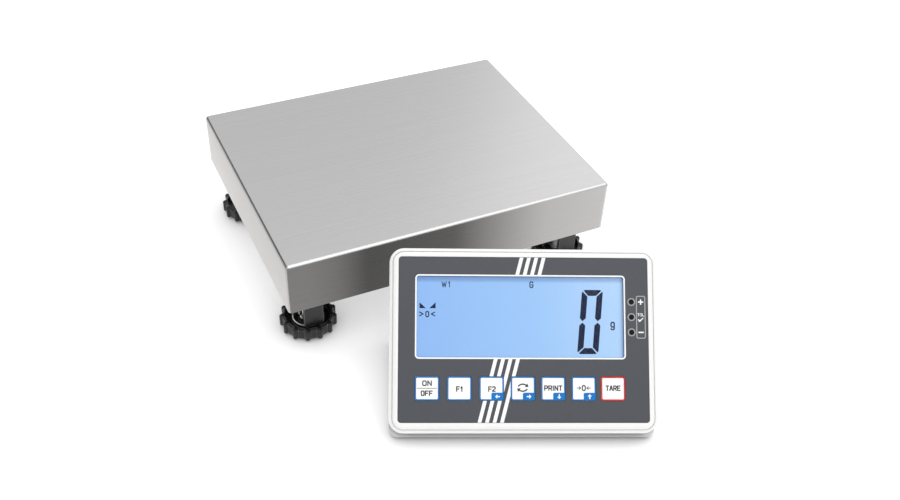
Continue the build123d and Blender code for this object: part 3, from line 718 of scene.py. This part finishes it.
def curved_arrow(x, y, radii, start, sweep, thick=1.05):
    """Part of an oval ring that ends in an arrow head."""
    turns = [math.radians(start + sweep * s / 16) for s in range(17)]
    outer = [(x + (radii[0] + thick / 2) * math.cos(t),
              y + (radii[1] + thick / 2) * math.sin(t)) for t in turns]
    inner = [(x + (radii[0] - thick / 2) * math.cos(t),
              y + (radii[1] - thick / 2) * math.sin(t)) for t in turns]
    end = turns[-1]
    forward = math.copysign(1, sweep)
    tip_way = Vector((-radii[0] * math.sin(end), radii[1] * math.cos(end))).normalized() * forward
    side = Vector((-tip_way.y, tip_way.x))
    foot = Vector((x + radii[0] * math.cos(end), y + radii[1] * math.sin(end)))
    head = [foot + side * 1.75, foot + tip_way * 2.3, foot - side * 1.75]
    if sweep > 0:
        head = list(reversed(head))
    return [outer + list(reversed(inner)), [tuple(p) for p in head]]


def tag_outline(x, y, half_x, half_y):
    """The corner tag, which follows the key's own rounded corner."""
    left, top, right, low = x + half_x - 9.5, y - half_y + 6.0, x + half_x, y - half_y
    rounding = [math.radians(a) for a in range(0, 91, 15)]
    corner = [(left + 1.3 - 1.3 * math.sin(a), top - 1.3 + 1.3 * math.cos(a)) for a in rounding]
    key_corner = [(right - 1.6 + 1.6 * math.sin(a), low + 1.6 - 1.6 * math.cos(a)) for a in rounding]
    return corner + [(left, low)] + key_corner + [(right, top)]


KEY_PRINT = {
    "key_power": ([("ON", 0.0, 4.0, 6.6, 3.4), ("OFF", -0.2, -3.7, 8.4, 3.4)], None),
    "key_function_1": ([("F1", 0.2, -0.4, 4.6, 3.4)], None),
    "key_function_2": ([("F2", 0.3, -0.4, 5.0, 3.4)], 180),
    "key_switch": ([], 0),
    "key_print": ([("PRINT", 0.0, 0.4, 13.4, 3.4)], -90),
    "key_zero": ([("0", 0.0, 0.5, 2.3, 3.8)], 90),
    "key_tare": ([("TARE", 0.0, 0.4, 11.0, 3.4)], None),
}


def make_key_print(name):
    """Border, corner tag and legend of one key."""
    low, high = on_face(name)
    x, y, top = (low.x + high.x) / 2, (low.y + high.y) / 2, high.z
    half_x, half_y = (high.x - low.x) / 2 - 0.02, (high.y - low.y) / 2 - 0.02
    words, tag = KEY_PRINT[name]
    border = bmesh.new()
    rings = [moved(rounded(half_x - inset, half_y - inset, 1.6 - inset * 0.7), x, y) for inset in (0, 0.95)]
    add_print(border, rings, top)
    legend = bmesh.new()
    for text, dx, dy, wide, high_text in words:
        add_text(legend, text, (x + dx, y + dy), (wide, high_text), top, 0.85)
    if name == "key_power":
        add_print(legend, [oblong(x, y + 0.15, 15.6, 0.42)], top)
    if name == "key_zero":
        for side in (-1, 1):
            middle_x, way = x + side * 3.9, -side
            add_strokes(legend, [[(middle_x - 1.5, y + 0.5), (middle_x + 1.5, y + 0.5)]], top, 0.55)
            tip = middle_x + 1.5 * way
            add_strokes(legend, [[(tip - 1.2 * way, y + 1.6), (tip, y + 0.5), (tip - 1.2 * way, y - 0.6)]],
                        top, 0.55)
    if name == "key_switch":
        for start in (160, -20):
            for outline in curved_arrow(x - 0.2, y + 0.7, (3.7, 2.7), start, -115):
                add_print(legend, [outline], top)
    colour = red_ink if name == "key_tare" else blue_ink
    if tag is not None:
        add_print(border, [tag_outline(x, y, half_x, half_y)], top, 0.035)
        mark = bmesh.new()
        add_print(mark, [arrow(x + half_x - 4.7, y - half_y + 3.0, 3.7, tag, 0.9)], top + 0.035)
        piece(name + "_arrow", mark, white_ink, name, FACE)
    piece(name + "_border", border, colour, name, FACE)
    return piece(name + "_legend", legend, black_ink, name, FACE)


for name in key_names:
    make_key_print(name)
print("printed", len(key_names), "keys")

# %% [markdown]
# ## The lit display
#
# The display is a pane of liquid crystal in front of a blue light box. The light comes in from
# one side, so it is a little stronger towards the right. Close to the edges of the opening the
# glow is darkened by a painted shadow of the frame's edge. The pane's material draws both with
# ramps along the face. The dark segments are printed shapes that lie on the pane, under the
# clear window.

# %% Display material
def ramp_along(tree, way, start, end, stops):
    """A colour ramp that runs along a direction, between two distances in metres."""
    place = add_node(tree, "TexCoord")
    along = add_node(tree, "VectorMath")
    along.operation = "DOT_PRODUCT"
    along.inputs[1].default_value = way
    span = add_node(tree, "MapRange")
    span.inputs["From Min"].default_value, span.inputs["From Max"].default_value = start, end
    ramp = add_node(tree, "ValToRGB")
    while len(ramp.color_ramp.elements) < len(stops):
        ramp.color_ramp.elements.new(0.5)
    for element, (position, colour) in zip(ramp.color_ramp.elements, stops):
        element.position, element.color = position, (*colour, 1)
    tree.links.new(place.outputs["Object"], along.inputs[0])
    tree.links.new(along.outputs["Value"], span.inputs["Value"])
    tree.links.new(span.outputs[0], ramp.inputs[0])
    return ramp.outputs[0]


def face_ramp(tree, way, low, high, stops):
    """A ramp along one direction of the face, with its ends in millimetres from the middle."""
    zero = face_origin.dot(way)
    return ramp_along(tree, way, zero + low * MM, zero + high * MM, stops)


def make_lit_pane():
    material = finish("lit_pane", (0.05, 0.08, 0.13), 0.35, 0.0, 900, 0.05, 0.05, 0.03, 0.00002)
    tree = material.node_tree
    shader = tree.nodes["Principled BSDF"]
    across_stops = [(0.0, (0.24, 0.46, 0.86)), (0.55, (0.30, 0.54, 0.90)), (1.0, (0.42, 0.64, 0.93))]
    glow = face_ramp(tree, rightward, window_low.x, window_high.x, across_stops)
    # Painted shadow of the opening's edge: the glow darkens towards each edge, most at the top and right.
    top_stops = [(0.0, (1, 1, 1)), (0.46, (0.62, 0.66, 0.72)), (0.86, (0.50, 0.55, 0.63)),
                 (0.92, (0.26, 0.31, 0.42))]
    top_shade = face_ramp(tree, upward, window_high.y - 6.3, window_high.y - 1.1, top_stops)
    side_stops = [(0.0, (1, 1, 1)), (0.5, (0.82, 0.85, 0.9)), (0.9, (0.38, 0.44, 0.54))]
    side_shade = face_ramp(tree, rightward, window_high.x - 5.0, window_high.x - 1.1, side_stops)
    low_shade = face_ramp(tree, upward, window_low.y + 2.0, window_low.y + 1.0,
                          [(0.0, (1, 1, 1)), (1.0, (0.5, 0.58, 0.7))])
    left_shade = face_ramp(tree, rightward, window_low.x + 2.0, window_low.x + 1.0,
                           [(0.0, (1, 1, 1)), (1.0, (0.5, 0.6, 0.8))])
    for shade in (top_shade, side_shade, low_shade, left_shade):
        glow = multiply(tree, glow, shade)
    tree.links.new(glow, shader.inputs["Emission Color"])
    shader.inputs["Emission Strength"].default_value = 0.92
    return material


def make_clear_window():
    """Thin clear plastic: it lets the display through and only adds a faint gloss."""
    material = bpy.data.materials.new("clear_window")
    material.use_nodes = True
    tree = material.node_tree
    tree.nodes.remove(tree.nodes["Principled BSDF"])
    output = tree.nodes["Material Output"]
    through = add_node(tree, "BsdfTransparent")
    gloss = add_node(tree, "BsdfGlossy")
    fresnel = add_node(tree, "Fresnel")
    smear = add_node(tree, "TexNoise")
    smear_range = add_node(tree, "MapRange")
    mix = add_node(tree, "MixShader")
    fresnel.inputs["IOR"].default_value = 1.25
    smear.inputs["Scale"].default_value = 40.0
    smear_range.inputs["To Min"].default_value, smear_range.inputs["To Max"].default_value = 0.04, 0.12
    tree.links.new(smear.outputs["Fac"], smear_range.inputs["Value"])
    tree.links.new(smear_range.outputs[0], gloss.inputs["Roughness"])
    tree.links.new(fresnel.outputs[0], mix.inputs[0])
    tree.links.new(through.outputs[0], mix.inputs[1])
    tree.links.new(gloss.outputs[0], mix.inputs[2])
    tree.links.new(mix.outputs[0], output.inputs["Surface"])
    return material


dress(nodes["lcd_glass"], make_lit_pane())
dress(nodes["display_window"], make_clear_window())

# %% [markdown]
# ## Digits and symbols
#
# A seven-segment digit is made of bars with slanted ends, set a little apart. A zero lights six of
# them. Each bar is a flat outline that leans to the right, and mirroring one upright and one
# level bar gives all six.

# %% Segments and symbols
DIGIT_WIDE, DIGIT_HIGH, STROKE, DIGIT_LEAN, GAP = 16.7, 50.4, 4.7, math.tan(math.radians(5)), 0.55


def digit_zero(right, low):
    """The six lit segments of a seven-segment zero, leaning to the right."""
    w, h, t, g, m = DIGIT_WIDE, DIGIT_HIGH, STROKE, GAP, DIGIT_HIGH / 2
    upright = [(t / 2, m + g), (0, m + g + t * 0.48), (0, h - g - 1.7), (0.55, h - g - 0.75),
               (t, h - g - t), (t, m + g + t * 0.48)]
    bar = [(g + 0.75, h - 0.55), (g + 1.9, h), (w - g - 1.9, h), (w - g - 0.75, h - 0.55),
           (w - t - g, h - t), (t + g, h - t)]
    segments = []
    for flip_x, flip_y in ((0, 0), (1, 0), (0, 1), (1, 1)):
        segments.append([(w - x if flip_x else x, h - y if flip_y else y) for x, y in upright])
    segments += [bar, [(x, h - y) for x, y in bar]]
    left = right - w - h * DIGIT_LEAN
    return [[(left + x + y * DIGIT_LEAN, low + y) for x, y in segment] for segment in segments]


DISPLAY_WORDS = (
    ("W1", (-60.8, 42.9), (6.6, 4.3), 0.62),
    ("G", (6.4, 43.0), (2.4, 4.3), 0.82),
    ("0", (-75.5, 19.5), (2.2, 4.2), 0.82),
    ("g", (70.5, 10.9), (2.5, 5.6), 1.0),
    (">", (-80.1, 19.6), (2.7, 2.9), 0.82),
    ("<", (-71.0, 19.6), (2.7, 2.9), 0.82),
)


def make_display_marks():
    shape = bmesh.new()
    surface = on_face("lcd_glass")[1].z
    for segment in digit_zero(63.2, -11.2):
        add_print(shape, [segment], surface)
    left_wedge = [(-81.6, 24.1), (-76.6, 24.1), (-81.6, 28.7)]
    right_wedge = [(-73.9, 24.1), (-69.0, 24.1), (-69.0, 28.7)]
    for outline in (left_wedge, right_wedge):
        add_print(shape, [outline], surface)
    for text, centre, size, thick in DISPLAY_WORDS:
        add_text(shape, text, centre, size, surface, thick)
    return piece("display_marks", shape, display_ink, "terminal", FACE)


display_marks = make_display_marks()
print("display:", len(display_marks.data.polygons), "faces of ink")

# %% [markdown]
# ## Hand knobs
#
# The levelling feet are turned with moulded knobs: thirteen small grips round a rim, a dished top
# and a hub that holds the steel stud. The rim's outline is a circle with a small round grip added
# wherever the grip stands out further. The same outline, drawn in by a few tenths of a
# millimetre, gives the rounded edges, and the rest of the section is plain circles.

# %% Knobs
GRIPS, KNOB_R, FACET_R, GRIP_R = 13, 24.9, 22.8, 2.4
AROUND = GRIPS * 20


def grip_outline(shrink):
    """The knob's outline, drawn in by an amount."""
    points = []
    half = math.tau / GRIPS / 2
    for s in range(AROUND):
        angle = math.tau * s / AROUND
        off = (angle * GRIPS / math.tau + 0.5) % 1 - 0.5
        off *= math.tau / GRIPS
        middle_r, grip = KNOB_R - GRIP_R, GRIP_R - shrink
        facet = (FACET_R - shrink) * math.cos(half) / math.cos(half - abs(off))
        reach = grip ** 2 - (middle_r * math.sin(off)) ** 2
        bump = middle_r * math.cos(off) + math.sqrt(reach) if reach > 0 else 0
        blend = 0.35
        radius = max(facet, bump) + blend * math.exp(-abs(facet - bump) / blend) * 0.35
        points.append((min(radius, KNOB_R - shrink) * math.cos(angle),
                       min(radius, KNOB_R - shrink) * math.sin(angle)))
    return points


def make_knob(corner):
    def ring(radius):
        return circle(radius, AROUND)

    shape = bmesh.new()
    levels = [(ring(3.3), 3.4), (ring(15.3), 3.4), (ring(15.4), 2.0), (grip_outline(1.0), 2.0),
              (grip_outline(0.3), 2.25), (grip_outline(0), 2.9)]
    levels += [(grip_outline(0), 12.0), (grip_outline(0.15), 12.35), (grip_outline(1.1), 13.3),
               (grip_outline(1.4), 13.5)]
    levels += [(ring(20.6), 13.5), (ring(20.1), 13.35), (ring(19.8), 13.0), (ring(19.5), 7.6),
               (ring(18.9), 7.0)]
    levels += [(ring(14.5), 7.0), (ring(14.05), 7.3), (ring(13.95), 9.0), (ring(13.6), 9.4),
               (ring(12.9), 9.4), (ring(12.5), 9.1)]
    levels += [(ring(12.2), 7.0), (ring(5.0), 7.0), (ring(4.9), 6.6)]
    add_bands(shape, levels)
    sole_low, sole_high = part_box("foot_sole_" + corner)
    at = (sole_low + sole_high) / 2
    return piece("hand_knob_" + corner, shape, knob_moulding, "knob_" + corner,
                 Matrix.Translation((at.x, at.y, 0)), 28, ["foot_knob_" + corner])


corners = ["front_left", "front_right", "rear_left", "rear_right"]
knobs = [make_knob(corner) for corner in corners]
print("knobs:", len(knobs), "of", len(knobs[0].data.polygons), "faces")

# %% [markdown]
# ## Studs with a real thread
#
# A screw thread is a ridge that climbs as it goes round. The stud is again a stack of circles,
# very close together, but each point's radius depends on how far round it is as well as on its
# height, which winds the ridge into a helix. The nut is a hexagon with its corners turned off at
# both ends, as a real nut's are.

# %% Studs and nuts
PITCH, THREAD_R, THREAD_DEPTH, STUD_LOW, STUD_HIGH = 1.5, 5.0, 0.75, 6.6, 62.0


def thread_outline(height, steps=36):
    """One level of the thread: a 60-degree ridge whose place turns with the height."""
    points = []
    fade = min(1.0, max(0.0, (STUD_HIGH - 0.8 - height) / 0.8))
    for s in range(steps):
        phase = (height / PITCH - s / steps) % 1
        ridge = 1 - abs(2 * phase - 1)
        radius = THREAD_R - THREAD_DEPTH + THREAD_DEPTH * min(1.0, ridge * 1.25) * fade
        radius -= 0.5 * (1 - fade)
        points.append((radius * math.cos(math.tau * s / steps), radius * math.sin(math.tau * s / steps)))
    return points


def hexagon(across, limit, steps=60):
    """A hexagon whose corners are turned off at a radius."""
    points = []
    for s in range(steps):
        angle = math.tau * s / steps
        side = (angle + math.pi / 6) % (math.pi / 3) - math.pi / 6
        radius = min(across / 2 / math.cos(side), limit)
        points.append((radius * math.cos(angle), radius * math.sin(angle)))
    return points


def make_nut(shape, across, low, high, bore):
    corner = across / 2 / math.cos(math.pi / 6)
    levels = [(circle(bore, 60), low), (hexagon(across, across / 2 * 0.96), low),
              (hexagon(across, corner * 0.97), low + 0.5), (hexagon(across, corner), low + 1.0)]
    levels += [(hexagon(across, corner), high - 1.0), (hexagon(across, corner * 0.97), high - 0.5),
               (hexagon(across, across / 2 * 0.96), high), (circle(bore, 60), high)]
    add_bands(shape, levels)


def make_stud(corner):
    shape = bmesh.new()
    rows = int((STUD_HIGH - STUD_LOW) / (PITCH / 5))
    heights = [STUD_LOW + (STUD_HIGH - STUD_LOW) * row / rows for row in range(rows + 1)]
    add_bands(shape, [(thread_outline(h), h) for h in heights], (True, True))
    make_nut(shape, 15.6, 7.0, 13.0, 5.0)
    hub_ring = [(12.5, 9.4), (12.5, 10.1), (12.8, 10.4), (13.6, 10.4), (14.0, 10.1), (14.0, 9.4)]
    add_bands(shape, [(circle(radius), height) for radius, height in hub_ring])
    sole_low, sole_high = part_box("foot_sole_" + corner)
    at = (sole_low + sole_high) / 2
    return piece("threaded_stud_" + corner, shape, zinc, "knob_" + corner,
                 Matrix.Translation((at.x, at.y, 0)), 40, ["foot_stud_" + corner])


studs = [make_stud(corner) for corner in corners]
print("stud:", len(studs[0].data.polygons), "faces")

# %% [markdown]
# ## Cards for the steel to look at
#
# The sides of the pan are nearly mirrors. In a white room they would be white on white, so grey
# cards stand just out of sight as painted reflections: glowing sheets that only reflections see.
# The front card is darkest at the middle, which makes the front fall off to a deep grey. The left
# card is plain and pale, and a dark card far behind draws a fine dark line along the left fold.
# They belong to the studio and not to the object.

# %% Grey cards
def make_card(name, start, end, low, high, greys, upward_greys=False):
    """An upright card between two places on the table, with greys that change along it or up it."""
    corners = [(*start, low), (*end, low), (*end, high), (*start, high)]
    mesh = bpy.data.meshes.new(name)
    mesh.from_pydata(corners, [], [(0, 1, 2, 3)])
    card = bpy.data.objects.new(name, mesh)
    bpy.context.scene.collection.objects.link(card)
    material = bpy.data.materials.new(name)
    material.use_nodes = True
    tree = material.node_tree
    tree.nodes.remove(tree.nodes["Principled BSDF"])
    glow = add_node(tree, "Emission")
    first, last = Vector(corners[0]), Vector(corners[3 if upward_greys else 1])
    way = (last - first).normalized()
    stops = [(position, (grey, grey * 0.985, grey * 0.97)) for position, grey in greys]
    shade = ramp_along(tree, way, first.dot(way), last.dot(way), stops)
    tree.links.new(shade, glow.inputs["Color"])
    tree.links.new(glow.outputs[0], tree.nodes["Material Output"].inputs["Surface"])
    card.data.materials.append(material)
    # Only reflections see the card: it paints reflections into the steel.
    card.visible_camera = card.visible_diffuse = card.visible_shadow = False
    return card


CARD_GAP = 12 * MM
front_y, left_x = pan_low.y - CARD_GAP, pan_low.x - CARD_GAP
# Painted reflection: the dark middle turns the front skirt a deep grey.
front_greys = ((0.22, 0.32), (0.29, 0.26), (0.36, 0.115), (0.58, 0.17), (0.70, 0.48), (0.82, 0.80),
               (0.95, 0.90))
left_greys = ((0.45, 0.95), (0.80, 0.88), (0.97, 0.62))
make_card("front_card", (pan_low.x - 60 * MM, front_y), (pan_high.x + 10 * MM, front_y), 20 * MM, 101 * MM,
          front_greys)
make_card("left_card", (left_x, pan_low.y), (left_x, pan_high.y + 50 * MM), 20 * MM, 93 * MM, left_greys,
          True)
make_card("dark_card", (-0.75, 0.10), (-0.75, 1.70), 0.13, 0.85, ((0.0, 0.02), (1.0, 0.03)))
print("cards stand", round(CARD_GAP / MM), "mm from the pan")

# %% [markdown]
# ## The table top
#
# The table is a translucent white sheet lit faintly from below, which keeps the shadows soft and
# pale. Where something stands on it or close to it, the glow is scaled down by how closely it is
# hemmed in, a painted shadow, so each foot and the terminal's lower edge sit in a small dark
# shadow of their own.

# %% Floor
TABLE_GLOW, CONTACT_REACH = 0.56, 50 * MM


def make_floor():
    """A pale table top, far wider than the object."""
    mesh = bpy.data.meshes.new("table_top")
    reach = 6.0
    mesh.from_pydata([(-reach, -reach, 0), (reach, -reach, 0), (reach, reach, 0), (-reach, reach, 0)], [],
                     [(0, 1, 2, 3)])
    floor = bpy.data.objects.new("table_top", mesh)
    bpy.context.scene.collection.objects.link(floor)
    pale = finish("pale_table", (0.65, 0.65, 0.65), 0.6, 0.0, 3, 0.004, 0.03, 0.0)
    tree = pale.node_tree
    shader = tree.nodes["Principled BSDF"]
    shader.inputs["Emission Color"].default_value = (1, 1, 1, 1)
    # Painted contact shadow: the glow is scaled down where other surfaces come close.
    painted_shadow_mask, glow = add_node(tree, "AmbientOcclusion"), add_node(tree, "Math")
    painted_shadow_mask.inputs["Distance"].default_value = CONTACT_REACH
    glow.operation, glow.inputs[1].default_value = "MULTIPLY", TABLE_GLOW
    tree.links.new(painted_shadow_mask.outputs["AO"], glow.inputs[0])
    tree.links.new(glow.outputs[0], shader.inputs["Emission Strength"])
    floor.data.materials.append(pale)
    return floor


make_floor()
